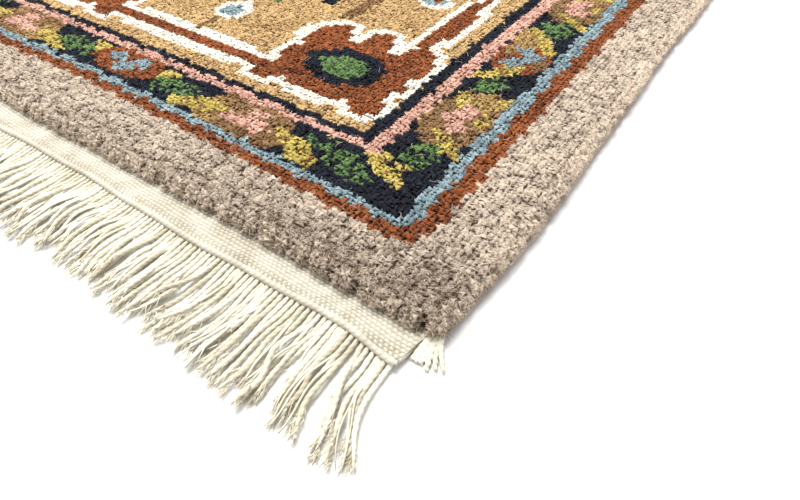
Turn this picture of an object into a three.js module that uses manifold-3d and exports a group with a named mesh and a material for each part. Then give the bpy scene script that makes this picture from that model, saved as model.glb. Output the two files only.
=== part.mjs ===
// Hand-knotted oriental rug in scatter size, lying flat: a slab of wool pile with an overcast
// selvedge along each long side, and at each end a flat-woven cotton band, the twined row that
// closes it with a fringe of warp strands, and a small tassel of edge warps under each corner.
// Millimetres. X is the width, Y the length, Z up; the origin is on the floor under the middle.

import * as THREE from 'three';
import Module from 'manifold-3d';
import { mergeGeometries, mergeVertices } from 'three/addons/utils/BufferGeometryUtils.js';

const wasm = await Module();
wasm.setup();

// Driving dimensions
const rugWidth = 660;
const overallLength = 996;
const pileLength = 848;
const pileHeight = 13;
const cornerRadius = 14;
const pieceGap = 0.3;

const selvedgeWidth = 6;
const selvedgeHeight = 6.6;
const kilimWidth = 19;
const kilimThickness = 2.6;
const kilimHalfInner = rugWidth / 2 - cornerRadius;
const kilimHalfOuter = kilimHalfInner - 3;
const twineWidth = 3.8;
const twineHeight = 4.6;
const twineFaceHeight = 2.6;
const bandStations = 18;

const strandsPerEnd = 142;
const strandWidth = 2.6;
const strandHeight = 2.2;
const rootDepth = 0.8;
const cornerFan = 11;
const cornerFanStart = kilimHalfOuter - 40;

const tasselTurn = THREE.MathUtils.degToRad(-70);
const tasselWidth = 7.4;
const tasselHeadLength = 4.6;
const tasselHeadHeight = 3;
const tasselStrands = 4;
const tasselStrandWidth = 1.5;
const tasselStrandLength = 18;
const tasselSpread = THREE.MathUtils.degToRad(26);

// Half sections of the pile's rim, foot to top. The inset is measured in from the plan outline.
// Along a side the pile overhangs the selvedge, and at an end it overhangs the flat-woven band.
const sideRim = [
  { inset: selvedgeWidth + pieceGap, height: 0 },
  { inset: selvedgeWidth + pieceGap, height: selvedgeHeight + pieceGap },
  { inset: 2.4, height: selvedgeHeight + 2 * pieceGap },
  { inset: 1.6, height: 9 },
  { inset: 3.2, height: 11.5 },
  { inset: 6.0, height: 12.7 },
  { inset: 10.5, height: pileHeight },
];
const endRim = [
  { inset: 5, height: 0 },
  { inset: 5, height: 3.7 },
  { inset: 1.2, height: 4.2 },
  { inset: 0, height: 6.5 },
  { inset: 1.6, height: 10 },
  { inset: 4.4, height: 12.3 },
  { inset: 9, height: pileHeight },
];

// Height of the flat-woven band above the floor, from the pile outwards. Its outer edge curls up.
const kilimSection = [
  { out: 0, bottom: 0.4 },
  { out: 0.35, bottom: 0.2 },
  { out: 0.7, bottom: 0.7 },
  { out: 1, bottom: 1.6 },
];

// Fall of a fringe strand from the twined row's middle to its tip, as a share of the root's height.
const strandFall = [
  { along: 0, height: 1 },
  { along: 0.27, height: 0 },
  { along: 0.62, height: 0 },
  { along: 1, height: 0 },
];

const colours = {
  wool: 0xc4b09e,
  selvedgeWool: 0xb5a08c,
  cotton: 0xefe9d4,
  fringeCotton: 0xf4efdf,
};

const wave = (distance, length, phase) => Math.sin((2 * Math.PI * distance) / length + phase);

// A repeatable scatter between -1 and 1 for the strand of that number.
const scatter = (number, channel) => {
  const spread = Math.sin(number * 12.9898 + channel * 78.233) * 43758.5453;
  return 2 * (spread - Math.floor(spread)) - 1;
};

// The long sides wander a little, alike under a half turn so that the rug stays centred.
const sideWander = (y) => 0.9 * wave(y, 330, 0.6) + 0.5 * wave(y, 151, 2.1) - 1.4;
const endWander = (x, phase) => 0.8 * wave(x, 260, phase) + 0.4 * wave(x, 141, 2 * phase) - 1.2;
const bandReach = (x, phase) => {
  const flare = THREE.MathUtils.smoothstep(Math.abs(x), kilimHalfOuter - 32, kilimHalfOuter);
  return 1.0 * wave(x, 180, phase + 1.2) + 0.4 * wave(x, 63, 3 * phase) + 2.4 * flare;
};
const bandLift = (x, phase) => 0.5 + 0.5 * wave(x, 143, phase + 0.4);

// Joins a row of equal rings into one closed body. Each ring turns anticlockwise round the way
// that the row runs, and a ring with hollows in its outline needs triangulated caps.
function loft(rings) {
  const perRing = rings[0].length;
  const positions = rings.flat().flatMap((point) => [point.x, point.y, point.z]);
  const triangles = [];
  for (let ring = 0; ring + 1 < rings.length; ring += 1) {
    for (let step = 0; step < perRing; step += 1) {
      const next = (step + 1) % perRing;
      const here = ring * perRing;
      const there = here + perRing;
      triangles.push(here + step, here + next, there + next);
      triangles.push(here + step, there + next, there + step);
    }
  }
  const last = (rings.length - 1) * perRing;
  for (const [a, b, c] of capTriangles(rings[0])) {
    triangles.push(c, b, a);
  }
  for (const [a, b, c] of capTriangles(rings[rings.length - 1])) {
    triangles.push(last + a, last + b, last + c);
  }
  const geometry = new THREE.BufferGeometry();
  geometry.setAttribute('position', new THREE.Float32BufferAttribute(positions, 3));
  geometry.setIndex(triangles);
  return geometry;
}

// Triangles of a flat ring that keep the ring's own turn.
function capTriangles(ring) {
  const normal = new THREE.Vector3();
  const centre = new THREE.Vector3();
  for (let step = 0; step < ring.length; step += 1) {
    normal.add(new THREE.Vector3().crossVectors(ring[step], ring[(step + 1) % ring.length]));
    centre.add(ring[step]);
  }
  normal.normalize();
  centre.divideScalar(ring.length);
  const across = new THREE.Vector3().subVectors(ring[0], centre).normalize();
  const up = new THREE.Vector3().crossVectors(normal, across);
  const flat = ring.map((point) => {
    const offset = new THREE.Vector3().subVectors(point, centre);
    return new THREE.Vector2(offset.dot(across), offset.dot(up));
  });
  return THREE.ShapeUtils.triangulateShape(flat, []);
}

// One solid from a backing and the strands that are rooted in it.
function fuse(backing, strands) {
  const joined = toSolid(backing).add(toSolid(mergeGeometries(strands)));
  const mesh = joined.getMesh();
  const geometry = new THREE.BufferGeometry();
  geometry.setAttribute('position', new THREE.Float32BufferAttribute(mesh.vertProperties, 3));
  geometry.setIndex([...mesh.triVerts]);
  return geometry;
}

function toSolid(geometry) {
  const welded = mergeVertices(geometry);
  return new wasm.Manifold(
    new wasm.Mesh({
      numProp: 3,
      vertProperties: new Float32Array(welded.attributes.position.array),
      triVerts: new Uint32Array(welded.index.array),
    }),
  );
}

// Stations round the rug's plan outline, anticlockwise, each with its outward direction.
function planOutline() {
  const stepLength = 30;
  const cornerSteps = 4;
  const flatX = rugWidth / 2 - cornerRadius;
  const flatY = pileLength / 2 - cornerRadius;
  const stations = [];
  for (let side = 0; side < 4; side += 1) {
    const facing = (side * Math.PI) / 2;
    const alongSide = side % 2 === 0 ? flatY : flatX;
    const outSide = side % 2 === 0 ? flatX : flatY;
    const steps = Math.round((2 * alongSide) / stepLength);
    for (let step = 0; step < steps; step += 1) {
      const along = alongSide * ((2 * step) / steps - 1);
      stations.push(stationAt(facing, outSide, along, 0));
    }
    for (let step = 0; step < cornerSteps; step += 1) {
      const turn = ((step / cornerSteps) * Math.PI) / 2;
      stations.push(stationAt(facing, outSide, alongSide, turn));
    }
  }
  return stations;
}

// A station on the side that faces that way, or turned past its end round the corner.
function stationAt(facing, outSide, along, turn) {
  const centre = new THREE.Vector2(outSide, along).rotateAround(new THREE.Vector2(), facing);
  const outward = new THREE.Vector2(Math.cos(facing + turn), Math.sin(facing + turn));
  return { outward, x: centre.x + cornerRadius * outward.x, y: centre.y + cornerRadius * outward.y };
}

const frontPhase = 0.9;
const backPhase = 2.6;

// How far the plan outline stands out from its true rectangle at a station.
function outlineWander(station) {
  const { outward, x, y } = station;
  const side = sideWander(y * Math.sign(outward.x)) * outward.x ** 2;
  const end = outward.y < 0 ? endWander(x, frontPhase) : endWander(-x, backPhase);
  return side + end * outward.y ** 2;
}

function pileSlab() {
  const stations = planOutline();
  const rings = sideRim.map((sideStage, stage) =>
    stations.map((station) => {
      const sideShare = station.outward.x ** 2;
      const inset = THREE.MathUtils.lerp(endRim[stage].inset, sideStage.inset, sideShare);
      const height = THREE.MathUtils.lerp(endRim[stage].height, sideStage.height, sideShare);
      const shift = outlineWander(station) - inset;
      return new THREE.Vector3(
        station.x + shift * station.outward.x,
        station.y + shift * station.outward.y,
        height,
      );
    }),
  );
  return loft(rings);
}

// Overcast cord of the +X side: an eight-sided section run along Y, slimmer at its two ends.
function selvedgeCord() {
  const halfLength = pileLength / 2 - cornerRadius - 2;
  const stations = 24;
  const rings = [];
  for (let station = 0; station <= stations; station += 1) {
    const y = halfLength * ((2 * station) / stations - 1);
    const slim = station === 0 || station === stations ? 0.7 : 1;
    const lumpy = 1 - 0.05 * (1 + scatter(station, 1));
    const halfWidth = (selvedgeWidth / 2) * slim;
    const height = selvedgeHeight * slim * lumpy;
    const middle = rugWidth / 2 - selvedgeWidth / 2 + sideWander(y);
    const section = [];
    for (let corner = 0; corner < 8; corner += 1) {
      const angle = ((corner + 0.5) * Math.PI) / 4;
      const across = THREE.MathUtils.clamp(1.12 * Math.cos(angle), -1, 1);
      const up = THREE.MathUtils.clamp(1.12 * Math.sin(angle), -1, 1);
      section.push(new THREE.Vector3(middle - halfWidth * across, y, (height / 2) * (1 + up)));
    }
    rings.push(section);
  }
  return loft(rings);
}

// Distances from the rug's middle to the pile's foot and to the middle of the twined row, and the
// height of the twined row's middle, for a place along the front end.
const pileFoot = (x, phase) => pileLength / 2 + endWander(x, phase) - endRim[0].inset;
const twineMiddle = (x, phase) =>
  pileLength / 2 - endRim[0].inset + kilimWidth + bandReach(x, phase) + 2 * pieceGap + twineWidth / 2;
const twineHeightAt = (x, phase) =>
  kilimSection.at(-1).bottom + bandLift(x, phase) + kilimThickness / 2 + 0.3;
const twineSection = [
  { across: twineWidth / 2, up: -twineFaceHeight / 2 },
  { across: twineWidth / 2, up: twineFaceHeight / 2 },
  { across: 0, up: twineHeight / 2 },
  { across: -twineWidth / 2, up: twineFaceHeight / 2 },
  { across: -twineWidth / 2, up: -twineFaceHeight / 2 },
  { across: 0, up: -twineHeight / 2 },
];

// Flat-woven band of the front end, run along X from one side to the other.
function kilimBand(phase) {
  const rings = [];
  for (let station = 0; station <= bandStations; station += 1) {
    const share = (2 * station) / bandStations - 1;
    const underside = kilimSection.map(({ out, bottom }) => {
      const x = share * THREE.MathUtils.lerp(kilimHalfInner, kilimHalfOuter, out);
      const inner = pileFoot(x, phase) + pieceGap;
      const outer = twineMiddle(x, phase) - twineWidth / 2 - pieceGap;
      const y = -THREE.MathUtils.lerp(inner, outer, out);
      return new THREE.Vector3(x, y, bottom + out ** 2 * bandLift(x, phase));
    });
    const topside = underside.map((point) => point.clone().setZ(point.z + kilimThickness));
    rings.push([...underside].reverse().concat(topside));
  }
  return loft(rings);
}

// Twined row of the front end, six-sided with an upright outer face, a little above the floor.
function twinedRow(phase) {
  const rings = [];
  for (let station = 0; station <= bandStations; station += 1) {
    const x = kilimHalfOuter * ((2 * station) / bandStations - 1);
    const section = twineSection.map(({ across, up }) => {
      const y = -twineMiddle(x, phase) + across;
      return new THREE.Vector3(x, y, twineHeightAt(x, phase) + up);
    });
    rings.push(section);
  }
  return loft(rings);
}

// A three-sided strand along a route of points at the middle of its underside. It runs towards -Y.
function strand(route, width, height) {
  const rings = route.map((point, step) => {
    const full = step === route.length - 1 ? 0.6 : 1;
    return [
      new THREE.Vector3(point.x - (full * width) / 2, point.y, point.z),
      new THREE.Vector3(point.x + (full * width) / 2, point.y, point.z),
      new THREE.Vector3(point.x, point.y, point.z + full * height),
    ];
  });
  return loft(rings);
}

// Twined row with its warp strands, which sway together and fan out at the corners.
function fringe(phase) {
  const strands = [];
  const outermost = kilimHalfOuter - strandWidth;
  for (let number = 0; number < strandsPerEnd; number += 1) {
    const rootX = outermost * ((2 * number) / (strandsPerEnd - 1) - 1);
    const rootOut = twineMiddle(rootX, phase);
    const tipWander = 3 * wave(rootX, 230, phase) + 2.2 * scatter(number, phase);
    const tipOut = Math.min(overallLength / 2, overallLength / 2 - 3 + tipWander);
    const sway = 4 * wave(rootX, 190, phase) + 1.1 * wave(rootX, 71, 2 * phase);
    const fan = cornerFan * THREE.MathUtils.smoothstep(Math.abs(rootX), cornerFanStart, outermost);
    const rootHeight = twineHeightAt(rootX, phase) - rootDepth;
    const route = strandFall.map(({ along, height }) => {
      const bow = sway * Math.sin(1.35 * Math.PI * along) * along;
      const spread = fan * Math.sign(rootX) * along ** 1.5;
      return new THREE.Vector3(
        rootX + bow + spread,
        -THREE.MathUtils.lerp(rootOut, tipOut, along),
        height * rootHeight,
      );
    });
    strands.push(strand(route, strandWidth, strandHeight));
  }
  return fuse(twinedRow(phase), strands);
}

// Corner tassel, built pointing along -Y from its head's inner face at the origin. The one on the
// -X side is the mirror image.
function cornerTassel(side) {
  const headRing = (y, width, height) =>
    [
      [-0.5, 0],
      [0.5, 0],
      [0.42, 0.8],
      [0.2, 1],
      [-0.2, 1],
      [-0.42, 0.8],
    ].map(([across, up]) => new THREE.Vector3(across * width, y, up * height));
  const head = loft([
    headRing(0, tasselWidth * 0.86, tasselHeadHeight * 0.85),
    headRing(-tasselHeadLength / 2, tasselWidth, tasselHeadHeight),
    headRing(-tasselHeadLength, tasselWidth * 0.97, tasselHeadHeight * 0.8),
  ]);
  const pitch = (tasselWidth - tasselStrandWidth - pieceGap) / (tasselStrands - 1);
  const strands = [];
  for (let number = 0; number < tasselStrands; number += 1) {
    const place = side * (number - (tasselStrands - 1) / 2);
    const heading = (tasselSpread * place) / (tasselStrands - 1);
    const reach = tasselStrandLength * (0.92 + 0.08 * scatter(number, 5));
    const route = [0, 0.25, 0.6, 1].map((along) => {
      const out = along * reach;
      return new THREE.Vector3(
        place * pitch + Math.sin(heading) * out * along,
        -tasselHeadLength / 2 - out,
        along < 0.1 ? 0.3 : 0,
      );
    });
    strands.push(strand(route, tasselStrandWidth, tasselStrandWidth));
  }
  return fuse(head, strands);
}

function named(name, geometry, colour, roughness) {
  geometry.computeVertexNormals();
  const material = new THREE.MeshStandardMaterial({ color: colour, roughness, metalness: 0 });
  const mesh = new THREE.Mesh(geometry, material);
  mesh.name = name;
  return mesh;
}

const rug = new THREE.Group();
rug.add(named('pile', pileSlab(), colours.wool, 0.95));

for (const [side, turn] of [['right', 0], ['left', Math.PI]]) {
  const cord = named(`selvedge_${side}`, selvedgeCord(), colours.selvedgeWool, 0.95);
  cord.rotation.z = turn;
  rug.add(cord);
}

const ends = [
  { end: 'front', turn: 0, phase: frontPhase },
  { end: 'back', turn: Math.PI, phase: backPhase },
];
for (const { end, turn, phase } of ends) {
  const endGroup = new THREE.Group();
  endGroup.rotation.z = turn;
  endGroup.add(named(`kilim_${end}`, kilimBand(phase), colours.cotton, 0.9));
  endGroup.add(named(`fringe_${end}`, fringe(phase), colours.fringeCotton, 0.9));

  const cornerX = rugWidth / 2 - cornerRadius;
  const cornerY = pileLength / 2 - cornerRadius;
  for (const side of [1, -1]) {
    const sideShare = Math.cos(tasselTurn) ** 2;
    const footInset = THREE.MathUtils.lerp(endRim[0].inset, sideRim[0].inset, sideShare);
    const reach = cornerRadius - footInset + pieceGap;
    const tassel = named(
      `tassel_${end}_${side * Math.cos(turn) > 0 ? 'right' : 'left'}`,
      cornerTassel(side),
      colours.fringeCotton,
      0.9,
    );
    tassel.position.set(
      side * (cornerX + reach * Math.cos(tasselTurn)),
      -cornerY + reach * Math.sin(tasselTurn),
      0,
    );
    tassel.rotation.z = side * (tasselTurn + Math.PI / 2);
    endGroup.add(tassel);
  }
  rug.add(endGroup);
}

export default rug;
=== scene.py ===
# A hand-knotted oriental rug in scatter size, lying flat on a pale floor and seen from over its
# near right corner: wool pile in eleven yarns, overcast sides, flat-woven cotton ends and fringe.
import math

import bmesh
import bpy
import numpy as np
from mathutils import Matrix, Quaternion, Vector


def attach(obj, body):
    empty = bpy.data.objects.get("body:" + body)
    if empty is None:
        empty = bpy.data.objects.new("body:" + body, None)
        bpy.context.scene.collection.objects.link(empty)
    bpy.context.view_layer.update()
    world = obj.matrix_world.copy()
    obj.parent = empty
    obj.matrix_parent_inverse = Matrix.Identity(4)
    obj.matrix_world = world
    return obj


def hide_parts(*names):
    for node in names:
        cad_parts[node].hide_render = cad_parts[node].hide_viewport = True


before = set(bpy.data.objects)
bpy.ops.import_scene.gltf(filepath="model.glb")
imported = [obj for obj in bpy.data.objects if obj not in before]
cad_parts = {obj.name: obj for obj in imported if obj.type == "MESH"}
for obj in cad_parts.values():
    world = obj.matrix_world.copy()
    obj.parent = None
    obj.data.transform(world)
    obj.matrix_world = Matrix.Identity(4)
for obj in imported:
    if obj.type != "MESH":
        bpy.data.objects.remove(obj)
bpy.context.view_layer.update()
chance = np.random.default_rng(7)

# The camera looks down over the near right corner, from just past the fringe. Its place was
# worked out from the borders' straight lines, and all of it is measured from that corner.
half_width, half_length = 0.330, 0.424
design_margin = 0.006
near_corner = Vector((half_width, -half_length - design_margin, 0))
camera_data = bpy.data.cameras.new("camera")
camera_data.lens = 25.6
camera_data.sensor_width = 36
camera_data.clip_start = 0.01
camera = bpy.data.objects.new("camera", camera_data)
camera.location = near_corner + Vector((0.0634, -0.1241, 0.2227))
aim = near_corner + Vector((-0.0578, 0.0490, 0))
level_view = (aim - camera.location).to_track_quat("-Z", "Y")
camera_roll = Quaternion((0, 0, 1), math.radians(-0.6))
camera.rotation_euler = (level_view @ camera_roll).to_euler()
bpy.context.scene.collection.objects.link(camera)
bpy.context.scene.camera = camera
bpy.context.scene.view_settings.view_transform = "Standard"

# Pale studio floor, with a wide soft light over the rug's left side and an even white fill, which
# leave the short soft shadows along the right side and past the fringe.


def shader_node(tree, kind, inputs=None, **settings):
    """A node of that kind in a tree, with its settings and with values or links for its inputs."""
    made = tree.nodes.new(kind)
    for setting, value in settings.items():
        setattr(made, setting, value)
    for socket, value in (inputs or {}).items():
        if isinstance(value, bpy.types.NodeSocket):
            tree.links.new(value, made.inputs[socket])
        else:
            made.inputs[socket].default_value = value
    return made


def srgb(red, green, blue):
    """A colour as the eye reads it from 0 to 255, for a shader's linear socket."""
    shares = [channel / 255 for channel in (red, green, blue)]
    linear = [s / 12.92 if s <= 0.04045 else ((s + 0.055) / 1.055) ** 2.4 for s in shares]
    return (*linear, 1)


def mixed_colour(tree, share, first, second):
    """The colour that lies that share of the way from a first colour to a second."""
    inputs = {"Factor": share, "A": first, "B": second}
    return shader_node(tree, "ShaderNodeMix", inputs, data_type="RGBA").outputs["Result"]


def new_material(name):
    material = bpy.data.materials.new(name)
    material.use_nodes = True
    material.node_tree.nodes.clear()
    return material


def finish_material(material, **inputs):
    """The Principled shader of a material, with its output."""
    tree = material.node_tree
    sockets = {name.replace("_", " "): value for name, value in inputs.items()}
    shader = shader_node(tree, "ShaderNodeBsdfPrincipled", sockets)
    shader_node(tree, "ShaderNodeOutputMaterial", {"Surface": shader.outputs["BSDF"]})
    return material


def object_from(name, shape, material):
    """An object at the origin from a finished bmesh."""
    mesh = bpy.data.meshes.new(name)
    shape.to_mesh(mesh)
    shape.free()
    mesh.materials.append(material)
    piece = bpy.data.objects.new(name, mesh)
    bpy.context.scene.collection.objects.link(piece)
    return piece


floor_shape = bmesh.new()
bmesh.ops.create_grid(floor_shape, x_segments=2, y_segments=2, size=6)
floor_drop = 0.0003
bmesh.ops.translate(floor_shape, verts=floor_shape.verts, vec=(0, 0, -floor_drop))
floor_paint = new_material("floor_paint")
floor_grain = shader_node(floor_paint.node_tree, "ShaderNodeTexNoise", {"Scale": 3.0})
floor_tint = mixed_colour(
    floor_paint.node_tree, floor_grain.outputs["Fac"], (0.90, 0.90, 0.90, 1), (0.92, 0.92, 0.92, 1)
)
finish_material(floor_paint, Base_Color=floor_tint, Roughness=0.7)
floor = object_from("floor", floor_shape, floor_paint)

world = bpy.data.worlds.new("studio")
world.use_nodes = True
world.node_tree.nodes["Background"].inputs["Color"].default_value = (1.0, 0.99, 0.98, 1)
world.node_tree.nodes["Background"].inputs["Strength"].default_value = 0.57
bpy.context.scene.world = world


def soft_light(name, offset, size, power):
    """An area light at that offset from the near corner, turned to the corner."""
    data = bpy.data.lights.new(name, "AREA")
    data.shape = "DISK"
    data.size = size
    data.energy = power
    light = bpy.data.objects.new(name, data)
    light.location = near_corner + Vector(offset)
    light.rotation_euler = (-Vector(offset)).to_track_quat("-Z", "Y").to_euler()
    bpy.context.scene.collection.objects.link(light)


soft_light("key", (-0.58, 0.36, 1.60), 1.1, 43)

# The knotted ground: cotton warps and wefts with the roots of the knots, a flat slab that hardly
# shows between the tufts. It is woven on a loom, so its sides and ends wander a little.
corner_radius = 0.014
ground_top, ground_round = 0.0100, 0.003
ground_inset = 0.0068
plain_band_side, plain_band_end = 0.044, 0.041
front_phase, back_phase = 0.9, 2.6


def wave(distance, length, phase):
    return np.sin(2 * np.pi * distance / length + phase)


def side_wander(y):
    return 0.0009 * wave(y, 0.330, 0.6) + 0.0005 * wave(y, 0.151, 2.1) - 0.0014


def end_wander(x, phase):
    return 0.0008 * wave(x, 0.260, phase) + 0.0004 * wave(x, 0.141, 2 * phase) - 0.0012


def fading(distance, reach):
    """1 at a line, fading towards 0 past that reach from it."""
    return np.exp(-((distance / reach) ** 2))


def corner_draw(from_end):
    """How far the last rows of knots draw a long side in, close to a corner."""
    return 0.0036 * fading(from_end, 0.045)


def plan_outline(spacing):
    """Points round the pile's plan at about that spacing, and the way out at each point."""
    flat_x, flat_y = half_width - corner_radius, half_length - corner_radius
    places, outward = [], []
    for side in range(4):
        facing = side * math.pi / 2
        along, out = (flat_y, flat_x) if side % 2 == 0 else (flat_x, flat_y)
        turn = np.array([[math.cos(facing), -math.sin(facing)], [math.sin(facing), math.cos(facing)]])
        straight = np.linspace(-along, along, round(2 * along / spacing), endpoint=False)
        bend = np.linspace(0, math.pi / 2, round(corner_radius * 1.57 / spacing) + 1, endpoint=False)
        way = np.concatenate([np.zeros_like(straight), bend])
        along_edge = np.concatenate([straight, np.full(len(bend), along)])
        centre = np.stack([np.full(len(way), out), along_edge], 1)
        out_way = np.stack([np.cos(way), np.sin(way)], 1)
        places.append((centre + corner_radius * out_way) @ turn.T)
        outward.append(out_way @ turn.T)
    places, outward = np.concatenate(places), np.concatenate(outward)
    x, y = places.T
    side_shift = side_wander(y * np.sign(outward[:, 0])) - corner_draw(half_length - np.abs(y))
    end_shift = np.where(outward[:, 1] < 0, end_wander(x, front_phase), end_wander(-x, back_phase))
    shift = side_shift * outward[:, 0] ** 2 + end_shift * outward[:, 1] ** 2
    return places + outward * shift[:, None], outward


def noise(tree, place, scale, detail, **more):
    """A noise pattern at a place, as a share from 0 to 1."""
    inputs = {"Vector": place, "Scale": scale, "Detail": detail, **more}
    return shader_node(tree, "ShaderNodeTexNoise", inputs).outputs["Fac"]


def arithmetic(tree, operation, *values, **settings):
    """One step of arithmetic on values or links."""
    inputs = dict(enumerate(values))
    return shader_node(tree, "ShaderNodeMath", inputs, operation=operation, **settings).outputs[0]


# Its cotton is hidden by the roots of the knots, and what shows of it lies deep between the tufts, so
# its tint is painted shade over the roots' colours: very dark under the patterned field and paler under
# the plain outer band.
ground_wool = new_material("ground_wool")
ground_tree = ground_wool.node_tree
ground_place = shader_node(ground_tree, "ShaderNodeTexCoord").outputs["Object"]
ground_speckle = noise(ground_tree, ground_place, 420.0, 3.0)
ground_inner_shade = mixed_colour(ground_tree, ground_speckle, srgb(40, 31, 26), srgb(74, 58, 46))
ground_outer_shade = mixed_colour(ground_tree, ground_speckle, srgb(92, 76, 62), srgb(136, 116, 98))
ground_way = shader_node(ground_tree, "ShaderNodeVectorMath", {0: ground_place}, operation="ABSOLUTE")
ground_axes = shader_node(ground_tree, "ShaderNodeSeparateXYZ", {0: ground_way.outputs[0]}).outputs
past_side = arithmetic(ground_tree, "GREATER_THAN", ground_axes["X"], half_width - plain_band_side)
past_end = arithmetic(ground_tree, "GREATER_THAN", ground_axes["Y"], half_length - plain_band_end)
in_plain_band = arithmetic(ground_tree, "MAXIMUM", past_side, past_end)
ground_tint = mixed_colour(ground_tree, in_plain_band, ground_inner_shade, ground_outer_shade)
finish_material(ground_wool, Base_Color=ground_tint, Roughness=0.95)

outline, outward = plan_outline(spacing=0.008)
ground_shape = bmesh.new()
foot = [ground_shape.verts.new((*place, 0.0)) for place in outline - outward * ground_inset]
ground_face = ground_shape.faces.new(foot)
raised = bmesh.ops.extrude_face_region(ground_shape, geom=[ground_face])
top_verts = [part for part in raised["geom"] if isinstance(part, bmesh.types.BMVert)]
bmesh.ops.translate(ground_shape, verts=top_verts, vec=(0, 0, ground_top))
top_edges = [e for e in ground_shape.edges if all(v.co.z > ground_top / 2 for v in e.verts)]
bmesh.ops.bevel(
    ground_shape,
    geom=top_edges,
    offset=ground_round,
    affect="EDGES",
    segments=2,
    profile=0.5,
    material=-1,
)
bmesh.ops.recalc_face_normals(ground_shape, faces=ground_shape.faces)
ground = object_from("knotted_ground", ground_shape, ground_wool)
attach(ground, "root")
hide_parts("pile")

# The design is knotted row by row, one yarn to a knot. From the edge in: a plain outer band, thin
# stripes, a border of leaves and flowers, two more stripes, and a gold field with palmettes.
knot_width, knot_length = 0.0031, 0.00265
# Each yarn: its name, its lit colour, and its darker colour that the tone lays in its hollows as painted
# shade.
YARNS = {
    "t": ("outer_taupe", (248, 230, 208), (122, 102, 84)),
    "r": ("rust", (180, 104, 58), (70, 31, 12)),
    "s": ("sky_blue", (176, 198, 202), (82, 106, 118)),
    "n": ("navy", (42, 46, 60), (3, 4, 8)),
    "p": ("rose", (246, 200, 180), (168, 112, 92)),
    "g": ("gold", (238, 202, 144), (132, 94, 52)),
    "i": ("ivory", (255, 253, 243), (232, 222, 198)),
    "e": ("leaf_green", (124, 160, 96), (10, 28, 14)),
    "m": ("mustard", (236, 213, 114), (128, 108, 44)),
    "b": ("tan", (172, 134, 92), (94, 66, 38)),
    "o": ("ochre", (206, 172, 110), (126, 96, 48)),
}
# Stripes as distances in from the rug's design edge: their yarn, where each ends along the sides,
# where it ends along the fringed ends, and how much farther in it has crept by their middle.
STRIPES = [
    {"yarn": "t", "side": 0.0437, "end": 0.0448, "creep": 0.0068},
    {"yarn": "r", "side": 0.0556, "end": 0.0536, "creep": 0.0060},
    {"yarn": "s", "side": 0.0652, "end": 0.0600, "creep": 0.0056},
    {"yarn": "n", "side": 0.1080, "end": 0.0975, "creep": 0.0015},
    {"yarn": "p", "side": 0.1190, "end": 0.1045, "creep": 0.0015},
    {"yarn": "n", "side": 0.1290, "end": 0.1105, "creep": 0.0015},
    {"yarn": "g", "side": 1.0, "end": 1.0, "creep": 0.0},
]
# One repeat of the leaf and flower border. Each motif is an oval: its yarn, its middle along and
# across the border, its half sizes and its tilt in degrees, in knots from the corner and outer edge.
BORDER_REPEAT = 77
SIDE_MOTIFS = [
    ("b", 15.5, 6.4, 14.0, 8.2, -6),
    ("m", 4.0, 5.0, 6.6, 2.0, 48),
    ("m", 23.4, 9.6, 5.0, 1.8, 8),
    ("o", 25.2, 5.6, 4.6, 4.4, 0),
    ("m", 27.6, 1.2, 2.6, 1.3, 0),
    ("m", 16.4, 2.4, 2.8, 1.4, 0),
    ("p", 11.6, 6.0, 2.4, 3.0, 0),
    ("p", 15.0, 8.0, 2.2, 2.6, 0),
    ("p", 18.6, 7.0, 3.0, 2.8, 0),
    ("e", 33.4, 7.6, 5.4, 3.1, -12),
    ("r", 51.5, 7.6, 10.0, 7.4, 0),
    ("b", 50.4, 2.6, 4.4, 2.0, 0),
    ("m", 41.0, 9.0, 7.6, 2.1, -38),
    ("s", 48.2, 8.9, 3.0, 2.5, 0),
    ("s", 53.0, 5.6, 3.6, 2.4, 0),
    ("s", 57.4, 9.2, 2.8, 2.2, 0),
    ("o", 54.6, 12.2, 2.4, 1.8, 0),
    ("o", 63.6, 9.8, 6.8, 4.4, 0),
    ("m", 61.4, 4.6, 5.4, 1.8, 24),
    ("m", 68.4, 9.8, 3.6, 1.7, 42),
    ("e", 73.4, 6.2, 6.0, 4.1, 10),
]
END_MOTIFS = [
    ("b", 18.2, 7.0, 9.8, 13.0, 0),
    ("e", 1.6, 10.8, 3.6, 2.6, -10),
    ("o", 25.6, 5.0, 3.4, 5.6, 0),
    ("m", 4.7, 5.0, 7.8, 2.8, 31),
    ("m", 30.2, 4.6, 6.6, 2.9, -25),
    ("p", 20.9, 5.2, 2.8, 2.2, 0),
    ("p", 14.9, 6.2, 2.7, 2.7, 0),
    ("p", 17.3, 10.8, 2.2, 1.8, 0),
    ("p", 17.9, 6.6, 1.8, 2.0, 0),
    ("e", 37.4, 6.9, 6.0, 3.8, -14),
    ("m", 43.4, 9.6, 4.6, 2.0, -34),
    ("r", 52.7, 8.4, 9.6, 7.0, 0),
    ("s", 49.6, 10.0, 3.0, 2.2, 24),
    ("s", 52.7, 6.2, 2.6, 2.8, 0),
    ("r", 52.7, 10.6, 1.7, 2.0, 0),
]
# The motifs that turn the border's corner, in millimetres in from the side and from the end.
CORNER_MOTIFS = [
    ("m", 97, 90, 21, 6.6, 27),
    ("m", 105, 97, 9, 7.0, 30),
    ("m", 88, 98, 6.5, 3.6, 0),
    ("n", 93, 94.4, 7.0, 1.4, 12),
    ("e", 86, 110, 13.5, 12.0, -28),
    ("e", 121, 81, 27, 9.6, 20),
    ("n", 135, 92, 8, 2.6, 20),
    ("n", 113, 86, 3.4, 2.4, 40),
]
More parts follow.
